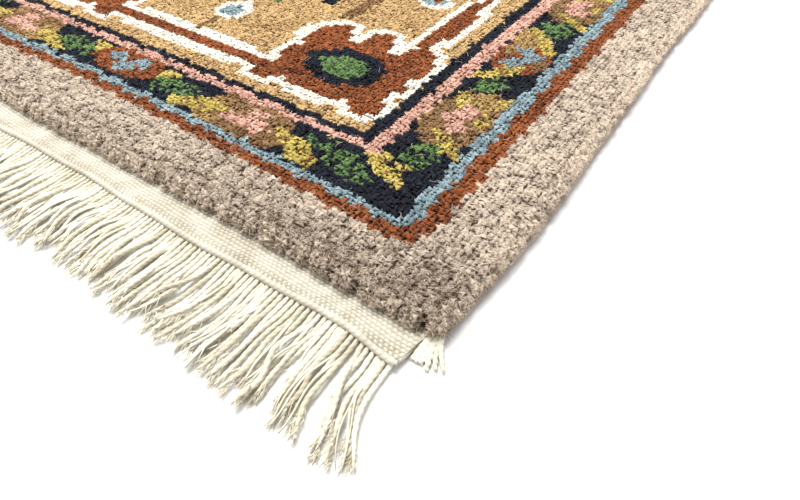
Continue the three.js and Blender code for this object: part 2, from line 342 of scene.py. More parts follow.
# A quarter of the field, up to the rug's middle: a palmette in its corner with two stems and a
# stalk, then flowers, leaves and diamonds. Each motif is an oval or a diamond laid over the ones
# above it: shape, yarn, middle, half sizes and tilt, in millimetres in from the side and the end.
FIELD_MOTIFS = [
    ("oval", "i", 150, 205, 22, 30, -25),
    ("oval", "i", 234, 205, 22, 30, 25),
    ("oval", "i", 148, 140, 22, 20, 30),
    ("oval", "i", 236, 140, 22, 20, -30),
    ("oval", "i", 192, 214, 20, 26, 0),
    ("oval", "i", 158, 275, 16, 70, 0),
    ("oval", "i", 300, 142, 60, 16, 0),
    ("oval", "i", 192, 170, 62, 48, 0),
    ("oval", "r", 150, 205, 14, 22, -25),
    ("oval", "r", 234, 205, 14, 22, 25),
    ("oval", "r", 148, 140, 14, 12, 30),
    ("oval", "r", 236, 140, 14, 12, -30),
    ("oval", "r", 192, 214, 12, 18, 0),
    ("oval", "r", 158, 275, 8, 64, 0),
    ("oval", "r", 300, 142, 60, 7, 0),
    ("oval", "r", 192, 170, 54, 40, 0),
    ("oval", "n", 192, 172, 34, 24, 0),
    ("oval", "e", 192, 172, 21, 13, 0),
    ("oval", "b", 241, 270, 8, 38, 0),
    ("oval", "n", 272, 256, 8, 8, 0),
    ("oval", "b", 331, 166, 5, 15, 0),
    ("oval", "i", 330, 197, 16, 17, 0),
    ("oval", "s", 331, 194, 10, 10, 0),
    ("oval", "e", 284, 264, 11, 8, 35),
    ("oval", "b", 330, 244, 4, 30, 0),
    ("oval", "e", 316, 236, 12, 5, 35),
    ("diamond", "i", 330, 286, 20, 20, 0),
    ("diamond", "r", 330, 286, 13, 13, 0),
    ("oval", "b", 236, 318, 4, 22, -12),
    ("oval", "e", 256, 316, 16, 6, 40),
    ("oval", "e", 214, 322, 16, 6, -40),
    ("oval", "i", 196, 306, 17, 15, 0),
    ("oval", "s", 196, 306, 11, 10, 0),
    ("oval", "r", 196, 306, 4, 4, 0),
    ("oval", "m", 152, 352, 12, 5, -20),
    ("oval", "m", 208, 352, 14, 6, 20),
    ("diamond", "i", 165, 430, 42, 66, 0),
    ("diamond", "r", 165, 430, 34, 56, 0),
    ("diamond", "n", 165, 430, 20, 34, 0),
    ("diamond", "s", 165, 430, 12, 22, 0),
    ("diamond", "i", 330, 430, 116, 112, 0),
    ("diamond", "r", 330, 430, 104, 102, 0),
    ("diamond", "g", 330, 430, 72, 70, 0),
    ("diamond", "i", 330, 430, 58, 56, 0),
    ("diamond", "n", 330, 430, 48, 46, 0),
    ("diamond", "e", 330, 430, 34, 32, 0),
    ("oval", "p", 330, 430, 12, 12, 0),
    ("oval", "p", 250, 368, 12, 9, 40),
    ("oval", "i", 232, 396, 9, 9, 0),
    ("oval", "s", 232, 396, 5, 5, 0),
]


def inside(shape, along, across, half_along, half_across, tilt):
    """True where a point, measured from a motif's middle, lies in that oval or diamond."""
    turn = math.radians(tilt)
    u = (along * math.cos(turn) + across * math.sin(turn)) / half_along
    v = (across * math.cos(turn) - along * math.sin(turn)) / half_across
    return u * u + v * v < 1 if shape == "oval" else abs(u) + abs(v) < 1


def rough(places, seed, reach):
    """A stair-stepped wander along a stripe, as knot rows give it."""
    stair_length, stairs = 0.0054, 4000
    steps = np.random.default_rng(seed).normal(0, 0.32, stairs)
    row = np.floor(places / stair_length).astype(int) + stairs // 2
    return reach * (0.5 * wave(places, 0.031, seed) + 0.4 * wave(places, 0.0137, 2 * seed) + steps[row])


def with_stripes(x, y, side, end, midway):
    """The yarn letters of the stripes alone, each stripe laid over the ones outside it."""
    corner_pull, pull_middle, pull_reach = 0.0052, 0.040, 0.015
    yarn = np.full(len(x), "t")
    inner_side, inner_end = 0.0, np.zeros(len(x))
    for number, stripe in enumerate(STRIPES):
        pulled = corner_pull * fading(end - pull_middle, pull_reach)
        from_side = side + rough(y, 3 + number, 0.0018) - pulled
        from_end = end + rough(x, 23 + number, 0.0019)
        yarn[(from_side > inner_side) & (from_end > inner_end)] = stripe["yarn"]
        inner_side, inner_end = stripe["side"], stripe["end"] + stripe["creep"] * midway
    return yarn


def draw_border(yarn, side, end, midway):
    """Lays the leaves and flowers over the navy between the blue and the rose stripe, with edges
    ragged by less than a knot and a few knots of the neighbouring yarn among them.
    """
    outer, inner = STRIPES[2], STRIPES[3]
    low = outer["end"] + outer["creep"] * midway
    high = inner["end"] + inner["creep"] * midway
    overlap = 0.003
    border = (yarn == "n") & (side > outer["side"] - overlap) & (end > low - overlap)
    border &= (side < inner["side"] + overlap) | (end < high + overlap)
    side_start, end_start = 0.120, 0.135
    up_side = border & (side < 0.112) & (end > side_start - 0.001)
    along_end = border & (end < high + overlap) & (side > end_start)
    at_corner = border & ~up_side & ~along_end
    up_places = (end - side_start) / 0.0026, (side - 0.065) / 0.00305
    along_places = (side - end_start) / 0.0037, 14 * (end - low) / (high - low)
    ragged = np.random.default_rng(31)
    jitter = ragged.normal(0, 0.45, (2, len(yarn)))
    runs = (up_side, SIDE_MOTIFS, up_places), (along_end, END_MOTIFS, along_places)
    for run, motifs, places in runs:
        along, across = places[0] + jitter[0], places[1] + jitter[1]
        for letter, middle, over, half_along, half_across, tilt in motifs:
            offset = (along - middle + BORDER_REPEAT / 2) % BORDER_REPEAT - BORDER_REPEAT / 2
            yarn[run & inside("oval", offset, across - over, half_along, half_across, tilt)] = letter
    for letter, middle, over, half_along, half_across, tilt in CORNER_MOTIFS:
        from_middle = 1000 * side - middle + 1.3 * jitter[0], 1000 * end - over + 1.3 * jitter[1]
        yarn[at_corner & inside("oval", *from_middle, half_along, half_across, tilt)] = letter
    mixing = ragged.uniform(0, 1, len(yarn))
    for letter, stray, part in (("e", "n", 0.32), ("b", "o", 0.16), ("m", "o", 0.10), ("o", "b", 0.14)):
        yarn[border & (yarn == letter) & (mixing < part)] = stray


def draw_field(yarn, side, end):
    """Lays the palmette and the field's other motifs over the gold, in blocks of two knots by two."""
    field_edge = STRIPES[5]
    in_field = yarn == "g"
    block_side = np.floor((side - field_edge["side"]) / (2 * knot_width)).astype(int)
    block_end = np.floor((end - field_edge["end"]) / (2 * knot_length)).astype(int)
    stepped_side = 1000 * (field_edge["side"] + (block_side + 0.5) * 2 * knot_width)
    stepped_end = 1000 * (field_edge["end"] + (block_end + 0.5) * 2 * knot_length)
    for shape, letter, middle, over, half_along, half_across, tilt in FIELD_MOTIFS:
        hit = inside(shape, stepped_side - middle, stepped_end - over, half_along, half_across, tilt)
        yarn[in_field & hit] = letter


def knot_yarns(x, y):
    """The yarn letter of each knot at those places in the plan. The design is the same in all four
    quarters, so it is read from the nearest side and end.
    """
    side = half_width - np.abs(x)
    end = half_length + design_margin - np.abs(y)
    midway = np.clip((side - 0.06) / 0.24, 0, 1.1)
    yarn = with_stripes(x, y, side, end, midway)
    draw_border(yarn, side, end, midway)
    draw_field(yarn, side, end)
    return yarn


# Dyed wool: hand-spun yarn that shows its fibres at the clipped ends, painted lighter at the tips and
# darker down between the tufts as shade, and dyed a little unevenly from one bath to the next.
def ranged(tree, value, low, high, to_low=0.0, to_high=1.0):
    """A value carried over from one range to another."""
    inputs = {"Value": value, "From Min": low, "From Max": high, "To Min": to_low, "To Max": to_high}
    return shader_node(tree, "ShaderNodeMapRange", inputs).outputs["Result"]


def yarn_group(name):
    """An effect for yarns, still empty: a light and a deep colour go in, a colour and a normal come
    out.
    """
    group = bpy.data.node_groups.new(name, "ShaderNodeTree")
    for colour in ("Light", "Deep"):
        group.interface.new_socket(colour, in_out="INPUT", socket_type="NodeSocketColor")
    group.interface.new_socket("Color", in_out="OUTPUT", socket_type="NodeSocketColor")
    group.interface.new_socket("Normal", in_out="OUTPUT", socket_type="NodeSocketVector")
    return group


def shade_yarn(group, fibre, fibre_part, slow, bump):
    """Mixes an effect's two colours by the fibre, by each tuft's or ply's tone, which carries the
    painted shade of its hollows, and by a slow shade, and puts them out with the bump's normal.
    """
    given = shader_node(group, "NodeGroupInput").outputs
    tone = shader_node(group, "ShaderNodeAttribute", attribute_name="tone").outputs["Fac"]
    shaded = arithmetic(group, "MULTIPLY_ADD", fibre, fibre_part, tone)
    share = arithmetic(group, "ADD", shaded, slow, use_clamp=True)
    mixed = mixed_colour(group, share, given["Deep"], given["Light"])
    normal = shader_node(group, "ShaderNodeBump", bump).outputs["Normal"]
    shader_node(group, "NodeGroupOutput", {"Color": mixed, "Normal": normal})


def wool_group():
    """Clipped wool: slow shade from the dye bath, each tuft's tone with its painted shade, and stringy
    fibre.
    """
    group = yarn_group("clipped_wool")
    place = shader_node(group, "ShaderNodeTexCoord").outputs["Object"]
    dye = noise(group, place, 26.0, 3.0)
    fibre = noise(group, place, 900.0, 4.0, Roughness=0.7, Distortion=3.5)
    wisps = noise(group, place, 1500.0, 2.0, Distortion=4.0)
    relief = arithmetic(group, "ADD", fibre, wisps)
    shade_yarn(
        group,
        fibre=ranged(group, fibre, 0.36, 0.66),
        fibre_part=0.62,
        slow=ranged(group, dye, 0.3, 0.7, -0.14, 0.14),
        bump={"Strength": 0.6, "Distance": 0.0006, "Height": relief},
    )
    return group


clipped_wool = wool_group()


def yarn_material(name, effect_group, light, deep, **finish):
    """A material of one yarn, from its colour where it is lit and its colour in its hollows, painted
    there as shade.
    """
    material = new_material(name)
    effect = shader_node(material.node_tree, "ShaderNodeGroup", node_tree=effect_group)
    effect.inputs["Light"].default_value = srgb(*light)
    effect.inputs["Deep"].default_value = srgb(*deep)
    look = {"Base_Color": effect.outputs["Color"], "Normal": effect.outputs["Normal"]}
    return finish_material(material, **look, **finish)


def wool(name, light, deep):
    """A dyed wool yarn. Pale wool shows its fuzz most, so its sheen goes with its colour."""
    return yarn_material(
        name,
        clipped_wool,
        light,
        deep,
        Roughness=0.92,
        Specular_IOR_Level=0.18,
        Sheen_Weight=0.02 + 0.1 * sum(light) / (3 * 255),
        Sheen_Roughness=0.55,
    )


def as_arrays(shape):
    """A small bmesh as arrays of its points and triangles, to be laid out many times."""
    bmesh.ops.triangulate(shape, faces=shape.faces)
    shape.verts.ensure_lookup_table()
    points = np.array([v.co for v in shape.verts])
    triangles = np.array([[v.index for v in f.verts] for f in shape.faces])
    shape.free()
    return points, triangles


def joined(name, parts, material, smooth=True):
    """One mesh from many copies of small shapes. Each part gives the points of its copies, the
    triangles they share, a tone for each copy or each point, and which triangles are tucked out of
    sight, or False for none. The bake map is the plan view, with a small corner for the tucked ones.
    """
    shown_part = (0.98, 0.86)
    tucked_part, tucked_corner = 0.1, (0.0, 0.88)
    flat, corners, tones, hidden, start = [], [], [], [], 0
    for points, triangles, tone, tucked in parts:
        copies, per_copy = points.shape[:2]
        first = start + per_copy * np.arange(copies)[:, None, None]
        corners.append((triangles[None] + first).reshape(-1, 3))
        flat.append(points.reshape(-1, 3))
        tones.append(np.broadcast_to(np.reshape(tone, (copies, -1)), (copies, per_copy)).reshape(-1))
        hidden.append(np.tile(np.broadcast_to(tucked, len(triangles)), copies))
        start += copies * per_copy
    flat, corners, hidden = np.concatenate(flat), np.concatenate(corners), np.concatenate(hidden)
    mesh = bpy.data.meshes.new(name)
    mesh.from_pydata(flat.tolist(), [], corners.tolist(), shade_flat=not smooth)
    mesh.attributes.new("tone", "FLOAT", "POINT").data.foreach_set("value", np.concatenate(tones))
    low, high = flat[:, :2].min(0), flat[:, :2].max(0)
    uv = ((flat[:, :2] - low) / (high - low).max())[corners]
    uv[~hidden] *= shown_part
    uv[hidden] = uv[hidden] * tucked_part + tucked_corner
    mesh.uv_layers.new(name="OFBake").data.foreach_set("uv", uv.reshape(-1))
    mesh.materials.append(material)
    piece = bpy.data.objects.new(name, mesh)
    bpy.context.scene.collection.objects.link(piece)
    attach(piece, "root")
    return piece


# Tufts: each knot's two cut ends stand as one small three-sided brush of wool, narrow at its root
# and splayed where it was clipped. They lean together in loose clumps, most of all in the plain
# outer band, and stray fibres lie over them.
tuft_shape = bmesh.new()
bmesh.ops.create_uvsphere(tuft_shape, u_segments=3, v_segments=2, radius=1)
tuft_points, tuft_triangles = as_arrays(tuft_shape)
tuft_crown = tuft_points[:, 2] > 0.5
tuft_root = tuft_points[:, 2] < -0.5
tuft_ring = ~tuft_crown & ~tuft_root
tuft_tucked = tuft_root[tuft_triangles].any(1)
fibre_shape = bmesh.new()
bmesh.ops.create_circle(fibre_shape, segments=3, radius=1, cap_ends=True)
fibre_triangles = as_arrays(fibre_shape)[1]


def tufts(roots, tips, across, along, sizes, tone):
    """Brushes of wool from their roots to their tips, with the two half sizes of each one's top."""
    count = len(roots)
    turn = chance.uniform(0, 2 * np.pi, count)
    ring = tuft_points[tuft_ring][:, :2]
    cos, sin = np.cos(turn)[:, None], np.sin(turn)[:, None]
    round_x = ring[:, 0] * cos - ring[:, 1] * sin
    round_y = ring[:, 0] * sin + ring[:, 1] * cos
    swell = chance.uniform(0.75, 1.45, round_x.shape)
    rise = tips - roots
    points = np.empty((count, len(tuft_points), 3))
    points[:, tuft_root] = roots[:, None]
    points[:, tuft_crown] = (tips + chance.normal(0, 0.00035, tips.shape))[:, None]
    points[:, tuft_ring] = (
        (roots + 0.88 * rise)[:, None]
        + (round_x * swell * sizes[:, :1])[..., None] * across[:, None]
        + (round_y * swell * sizes[:, 1:])[..., None] * along[:, None]
        + (chance.uniform(-0.10, 0.07, round_x.shape))[..., None] * rise[:, None]
    )
    # Painted shade: each tuft's crown is lighter, its ring darker where it meets its neighbours, and its
    # root darkest.
    shade = np.where(tuft_crown, 0.30, np.where(tuft_root, -0.9, -0.24))
    tones = tone[:, None] + shade + chance.normal(0, 0.17, (count, len(tuft_points)))
    return points, tuft_triangles, tones, tuft_tucked


def fibres(roots, ways, width, tone):
    """Stray fibres of spun wool: slivers from a root, each along its way and tapered to a point."""
    lowest, highest = 0.0003, 0.0148
    sideways = np.cross(ways, (0.0, 0.0, 1.0))
    sideways *= width / np.maximum(np.linalg.norm(sideways, axis=1), 1e-6)[:, None]
    points = roots[:, None] + np.stack([sideways, -sideways, ways], 1)
    points[..., 2] = np.clip(points[..., 2], lowest, highest)
    return points, fibre_triangles, tone, False


def clumps(x, y):
    """The way from each place to the middle of its clump."""
    pitch, cells = 0.0078, 400
    nudges = np.random.default_rng(5).uniform(0, 1, (cells, cells, 2))
    cell = np.stack([np.floor(x / pitch), np.floor(y / pitch)], 1).astype(int)
    best = np.full((len(x), 2), 1.0)
    for step_x in (-1, 0, 1):
        for step_y in (-1, 0, 1):
            near = cell + (step_x, step_y)
            middle = (near + nudges[near[:, 0] % cells, near[:, 1] % cells]) * pitch
            way = middle - np.stack([x, y], 1)
            closer = (way ** 2).sum(1) < (best ** 2).sum(1)
            best[closer] = way[closer]
    return best


# One knot stands at each crossing of the grid, up to where the rim's knots take over.
rim_width = 0.0062
columns = int(2 * half_width / knot_width)
rows = int(2 * half_length / knot_length)
grid_x, grid_y = np.meshgrid(
    (np.arange(columns) - (columns - 1) / 2) * knot_width,
    (np.arange(rows) - (rows - 1) / 2) * knot_length,
)
knot_x, knot_y = grid_x.ravel(), grid_y.ravel()
facing_side, facing_end = np.sign(knot_x), np.sign(knot_y)
side_limit = half_width + side_wander(knot_y * facing_side) - corner_draw(half_length - np.abs(knot_y))
end_limit = half_length + np.where(
    facing_end < 0, end_wander(knot_x, front_phase), end_wander(-knot_x, back_phase)
)
past = np.stack([np.abs(knot_x) - side_limit, np.abs(knot_y) - end_limit], 1) + corner_radius
edge = corner_radius - np.where((past > 0).all(1), np.hypot(*past.T), past.max(1))
kept = edge > rim_width
knot_x, knot_y, edge = knot_x[kept], knot_y[kept], edge[kept]
side_in, end_in = half_width - np.abs(knot_x), half_length - np.abs(knot_y)
from_corner = np.hypot(side_in, end_in)
letters = knot_yarns(knot_x, knot_y)

# The plain band's wool is looser and its clumps are deeper, and its tone is painted darker close to the
# ends and corners as shade.
root_height, pile_height = 0.0055, 0.0127
half_tuft = (0.00225, 0.00198)
way = clumps(knot_x, knot_y)
spread = np.minimum(np.hypot(*way.T) / 0.0056, 1)
plain = letters == "t"
loose = np.where(plain, 0.55 + 0.45 * fading(edge, 0.022), 0.22)
root = np.stack([knot_x, knot_y, np.full(len(knot_x), root_height)], 1)
root[:, :2] += chance.normal(0, 1, (len(root), 2)) * (0.0001 + 0.0006 * loose[:, None])
height = pile_height - 0.0007 * fading(edge - 0.006, 0.004)
height += 0.0005 * wave(knot_x, 0.093, 1.0) * wave(knot_y, 0.071, 0.3) * loose
height -= loose * 0.0011 * spread ** 3
height += chance.normal(0, 0.00024, len(height))
lean = way * (0.19 * loose)[:, None] + (0.0, -0.0004) + chance.normal(0, 0.0003, way.shape)
tip = np.column_stack([knot_x + lean[:, 0], knot_y + lean[:, 1], height])
size = np.tile(half_tuft, (len(root), 1))
size *= chance.uniform(0.9, 1.12, size.shape) * np.where(letters == "i", 1.12, 1.0)[:, None]
# Painted shade: the tone darkens towards the edges of each clump and near the corners and the ends, most
# in the loose plain band.
tone = chance.normal(0.36, 0.12, len(root)) + 0.18 * loose - 0.40 * loose * spread ** 1.5
tone -= 0.26 * loose * fading(from_corner, 0.09)
tone -= 0.26 * loose * fading(end_in, 0.045) * (1 + 1.2 * fading(side_in, 0.19))

# Stray fibres lie on the tips, many on the loose plain wool and few on the dyed.
hairs = np.repeat(np.arange(len(root)), np.where(plain, 8, 2))
heading = chance.uniform(0, 2 * np.pi, len(hairs))
reach = chance.uniform(0.0012, 0.0036, len(hairs)) * (0.75 + 0.4 * loose[hairs])
climb = chance.uniform(-0.0006, 0.0008, len(hairs))
hair_way = np.column_stack([reach * np.cos(heading), reach * np.sin(heading), climb])
hair_root = tip[hairs] - 0.4 * hair_way + chance.normal(0, 1, hair_way.shape) * (0.0009, 0.0009, 0.0004)
hair_tone = tone[hairs] + chance.uniform(-0.15, 0.60, len(hairs))
east, north = np.array([[1.0, 0.0, 0.0]]), np.array([[0.0, 1.0, 0.0]])
wools = {}
for letter, (yarn_name, light, deep) in YARNS.items():
    wools[letter] = wool("wool_" + yarn_name, light, deep)
    mine, hair = letters == letter, letters[hairs] == letter
    parts = [
        tufts(root[mine], tip[mine], east, north, size[mine], tone[mine]),
        fibres(hair_root[hair], hair_way[hair], width=0.00014, tone=hair_tone[hair]),
    ]
    piece = joined("pile_" + yarn_name, parts, wools[letter], smooth=False)

# The rim: the outermost knots of the plain band, longer and splayed outwards, so that they round
# the edge over and hang over the selvedge at the sides and over the woven band at the ends.
RIM_ROWS = [
    {"root_in": 9.2, "root_up": 6.0, "tip_in": 6.4, "side_up": 12.5, "end_up": 12.5},
    {"root_in": 8.6, "root_up": 5.6, "tip_in": 3.9, "side_up": 11.6, "end_up": 11.4},
    {"root_in": 8.0, "root_up": 5.2, "tip_in": 2.1, "side_up": 10.2, "end_up": 9.4},
    {"root_in": 7.6, "root_up": 5.0, "tip_in": 1.4, "side_up": 8.6, "end_up": 7.0},
    {"root_in": 7.4, "root_up": 4.8, "tip_in": 1.7, "side_up": 6.2, "end_up": 4.6},
]
rim_pitch, rim_scatter = 0.0026, 0.0004
rim_sets = []
for row in RIM_ROWS:
    places, out = plan_outline(rim_pitch)
    places = places + chance.normal(0, rim_scatter, places.shape)
    side_share = out[:, 0] ** 2
    root_up = np.full(len(places), row["root_up"] / 1000)
    tip_up = row["side_up"] * side_share + row["end_up"] * (1 - side_share)
    rim_way = clumps(*places.T)
    rim_way -= out * (rim_way * out).sum(1)[:, None]
    hollow = np.minimum(np.hypot(*rim_way.T) / 0.0055, 1) ** 2
    tip_in = row["tip_in"] / 1000 + 0.0019 * hollow - 0.0006
    tip_plan = places - out * tip_in[:, None] + 0.22 * rim_way
    ragged = chance.normal(0, rim_scatter, (len(places), 3))
    rim_root = np.column_stack([places - out * row["root_in"] / 1000, root_up])
    rim_tip = np.column_stack([tip_plan, tip_up / 1000]) + ragged
    rim_sets.append((rim_root, rim_tip, side_share, hollow))
rim_root, rim_tip, rim_side, rim_hollow = (np.concatenate(part) for part in zip(*rim_sets))
axis = rim_tip - rim_root
axis /= np.linalg.norm(axis, axis=1)[:, None]
level = np.cross(axis, (0.0, 0.0, 1.0))
level /= np.linalg.norm(level, axis=1)[:, None]
rim_corner = np.hypot(half_width - np.abs(rim_tip[:, 0]), half_length - np.abs(rim_tip[:, 1]))
# The rim's tone is painted light and shade: lighter along the long sides, darker along the ends, in the
# clefts between its clumps and towards the corners.
rim_tone = chance.normal(0.42, 0.14, len(rim_root)) + 0.22 * rim_side - 0.42 * rim_hollow
rim_tone -= 0.10 * (1 - rim_side) + (0.26 + 0.16 * rim_side) * fading(rim_corner, 0.11)
rim_size = chance.uniform(0.0017, 0.0023, (len(rim_root), 2))
curls_per_tuft = 9
curls = np.repeat(np.arange(len(rim_root)), curls_per_tuft)
curl_way = 0.0010 * axis[curls] + chance.normal(0, 0.0017, (len(curls), 3))
curl_root = rim_tip[curls] - 0.0006 * axis[curls] + chance.normal(0, 0.0009, (len(curls), 3))
rim_tufts = tufts(rim_root, rim_tip, level, np.cross(level, axis), rim_size, rim_tone)
rim_hair_tone = rim_tone[curls] + chance.uniform(-0.15, 0.6, len(curls))
rim_parts = [rim_tufts, fibres(curl_root, curl_way, width=0.00013, tone=rim_hair_tone)]

# Longer fibres have worked loose near the corners. Each curls over the tips in a chain of pieces.
curly_count, curl_pieces, curl_length = 1900, 5, 0.0014
near_a_corner = np.where(plain, 0.12 + fading(from_corner, 0.045), 0.012)
curly = chance.choice(len(tip), curly_count, p=near_a_corner / near_a_corner.sum())
curl_start = tip[curly] + (0, 0, 0.0002)
bearing, bend = chance.uniform(0, 2 * np.pi, len(curly)), chance.normal(0, 0.55, len(curly))
curl_tone = chance.uniform(0.2, 1.0, len(curly))
for step in range(curl_pieces):
    climb = chance.normal(0.0001 - 0.00012 * step, 0.0002, len(curly))
    curl_step = np.column_stack([curl_length * np.cos(bearing), curl_length * np.sin(bearing), climb])
    curl_piece = fibres(curl_start - 0.1 * curl_step, 1.2 * curl_step, width=0.00012, tone=curl_tone)
    rim_parts.append(curl_piece)
    curl_start, bearing = curl_start + curl_step, bearing + bend
rim = joined("pile_rim", rim_parts, wools["t"], smooth=False)

# Overcast selvedges: edge warps wrapped with the outer band's wool, a lumpy cord of close slanting
# turns that lies along the foot of each long side.
selvedge_width, selvedge_height, selvedge_short = 0.006, 0.0066, 0.0105


def tube_shape(steps, sides):
    """A closed tube of unit radius along Z from 0 to 1, as arrays: points and triangles."""
    shape = bmesh.new()
    bmesh.ops.create_grid(shape, x_segments=sides, y_segments=steps, size=0.5)
    for v in shape.verts:
        angle = 2 * math.pi * (v.co.x + 0.5)
        v.co = (math.cos(angle), math.sin(angle), v.co.y + 0.5)
    bmesh.ops.remove_doubles(shape, verts=shape.verts, dist=1e-5)
    bmesh.ops.holes_fill(shape, edges=[e for e in shape.edges if e.is_boundary])
    bmesh.ops.recalc_face_normals(shape, faces=shape.faces)
    return as_arrays(shape)


def closing(share, part, least):
    """How full a tube is: 1 but for a part of its length at each end, where it closes to the least."""
    return np.clip((0.5 - np.abs(share - 0.5)) / part, least, 1)


selvedge_wool = wool("selvedge_wool", (228, 210, 192), (128, 108, 92))
wraps = 330
rings = 2 * wraps
for side_name, side in (("right", 1), ("left", -1)):
    points, triangles = tube_shape(rings, 8)
    angle = np.arctan2(points[:, 1], points[:, 0])
    proud = 1 - np.round(points[:, 2] * rings).astype(int) % 2
    along = (points[:, 2] - 0.5) * 2 * (half_length - selvedge_short)
    thick = 0.82 + 0.20 * proud + 0.05 * wave(along, 0.021, 1.0) + 0.04 * wave(along, 0.0083, 0.2)
    full = closing(points[:, 2], 0.004, 0.25)
    middle = half_width - selvedge_width / 2 + side_wander(along)
    middle = middle - corner_draw(half_length - np.abs(along))
    x = middle + 0.5 * selvedge_width * thick * full * np.cos(angle)
    z = selvedge_height / 2 + 0.5 * selvedge_height * thick * full * np.sin(angle)
    slant = 0.0007 * np.sin(angle) * full
    laid = np.stack([side * x, side * (along + slant), np.maximum(z, 0.0)], 1)
    # Painted shade: the tone is lighter on the proud turns and darker between them.
    parts = [(laid[None], triangles, 0.6 * proud - 0.3, False)]
    cord = joined("selvedge_" + side_name + "_overcast", parts, selvedge_wool)
    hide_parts("selvedge_" + side_name)

# Flat-woven cotton ends: a band of weft beaten down over pairs of warps, so that its face is rows
# of small grains. It comes out from under the pile and its outer edge curls a little off the floor.
kilim_width, kilim_thickness = 0.019, 0.0026
kilim_half_inner, kilim_half_outer = 0.316, 0.313
foot_inset = 0.005
piece_gap = 0.0003
twine_width, twine_height = 0.0038, 0.0046
KILIM_LIFT = {"out": (0, 0.35, 0.7, 1), "height": (0.0004, 0.0002, 0.0007, 0.0016)}


def eased(share):
    """A share from 0 to 1 that sets out and arrives gently."""
    return share * share * (3 - 2 * share)


def band_reach(x, phase):
    """How much further than its plain width the band reaches. It flares towards the corners."""
    flare_width = 0.032
    flare = eased(np.clip((np.abs(x) - kilim_half_outer + flare_width) / flare_width, 0, 1))
    return 0.0010 * wave(x, 0.180, phase + 1.2) + 0.0004 * wave(x, 0.063, 3 * phase) + 0.0024 * flare


def band_lift(x, phase):
    return 0.0005 + 0.0005 * wave(x, 0.143, phase + 0.4)


def twine_middle(x, phase):
    band_edge = half_length - foot_inset + kilim_width + band_reach(x, phase)
    return band_edge + 2 * piece_gap + twine_width / 2


def twine_height_at(x, phase):
    return KILIM_LIFT["height"][-1] + band_lift(x, phase) + kilim_thickness / 2 + 0.0003


def cotton_group():
    """Undyed cotton: cream, with its hollows painted darker and warmer as shade, slow patches of soil,
    and fine spun fibre.
    """
    group = yarn_group("spun_cotton")
    place = shader_node(group, "ShaderNodeTexCoord").outputs["Object"]
    soil = noise(group, place, 60.0, 3.0)
    spun = noise(group, place, 1300.0, 3.0, Distortion=1.5)
    shade_yarn(
        group,
        fibre=spun,
        fibre_part=0.35,
        slow=ranged(group, soil, 0.35, 0.7, 0.1, -0.2),
        bump={"Strength": 0.5, "Distance": 0.0004, "Height": spun},
    )
    return group


spun_cotton = cotton_group()


def cotton(name, light, deep):
    """An undyed cotton yarn or cloth."""
    return yarn_material(
        name,
        spun_cotton,
        light,
        deep,
        Roughness=0.88,
        Specular_IOR_Level=0.2,
        Sheen_Weight=0.15,
        Sheen_Roughness=0.5,
    )


# Each cotton's lit colour, and its darker colour that the tone lays in its hollows as painted shade.
kilim_cotton = cotton("kilim_cotton", (245, 241, 227), (148, 136, 110))
fringe_cotton = cotton("fringe_cotton", (243, 238, 220), (160, 146, 114))
ENDS = (("front", 1, front_phase), ("back", -1, back_phase))


def turned(points, facing):
    """Points of the front end as they lie, or turned half round for the back end."""
    return points * (facing, facing, 1)


weft_rows, warp_pairs = 9, 204
top_steps, under_steps = 3 * weft_rows, 3
for end_name, facing, phase in ENDS:
    around = top_steps + under_steps + 2
    points, triangles = tube_shape(2 * warp_pairs, around)
    place = np.round(np.arctan2(points[:, 1], points[:, 0]) / (2 * np.pi) % 1 * around) % around
    on_top = place <= top_steps
    out = np.clip(np.where(on_top, place / top_steps, 1 - (place - top_steps - 1) / under_steps), 0, 1)
    x = (2 * points[:, 2] - 1) * (kilim_half_inner + (kilim_half_outer - kilim_half_inner) * out)
    x = x + 0.0007 * on_top * (place % 3 - 1) * (np.abs(x) < kilim_half_outer - 0.002)
    inner = half_length + end_wander(x, phase) - foot_inset + piece_gap
    outer = twine_middle(x, phase) - twine_width / 2 - piece_gap
    lift = np.interp(out, KILIM_LIFT["out"], KILIM_LIFT["height"]) + out ** 2 * band_lift(x, phase)
    column = np.round(points[:, 2] * 2 * warp_pairs).astype(int)
    weft = np.floor(place / 3).astype(int)
    ridge = (place % 3 > 0) * 1.0
    slit = np.where(weft >= weft_rows - 2, 0.2, 0.45)
    lump = np.where(ridge > 0, np.where((column + weft) % 2 == 0, 1.0, slit), 0.3)
    uneven = 0.15 * wave(x, 0.0173, phase) + 0.12 * wave(x, 0.0071, 2 * weft)
    fold = np.clip((out - 0.95) / 0.05, 0, 1)
    top_z = lift + kilim_thickness - 0.0010 + 0.0013 * (lump + uneven) - 0.0014 * fold
    z = np.where(on_top, top_z, lift)
    y = inner + (outer - inner) * out + np.where(on_top, 0.0003 * wave(x, 0.047, weft), 0)
    laid = turned(np.stack([x, -y, z], 1), facing)
    # Painted shade: the tone is lighter on the raised grains and darker in the slits and valleys between
    # them.
    grain_tone = np.where(on_top, -0.20 + 0.85 * lump, 0.4)
    parts = [(laid[None], triangles, grain_tone, ~on_top[triangles].any(1))]
    band = joined("kilim_" + end_name + "_web", parts, kilim_cotton)
    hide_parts("kilim_" + end_name)

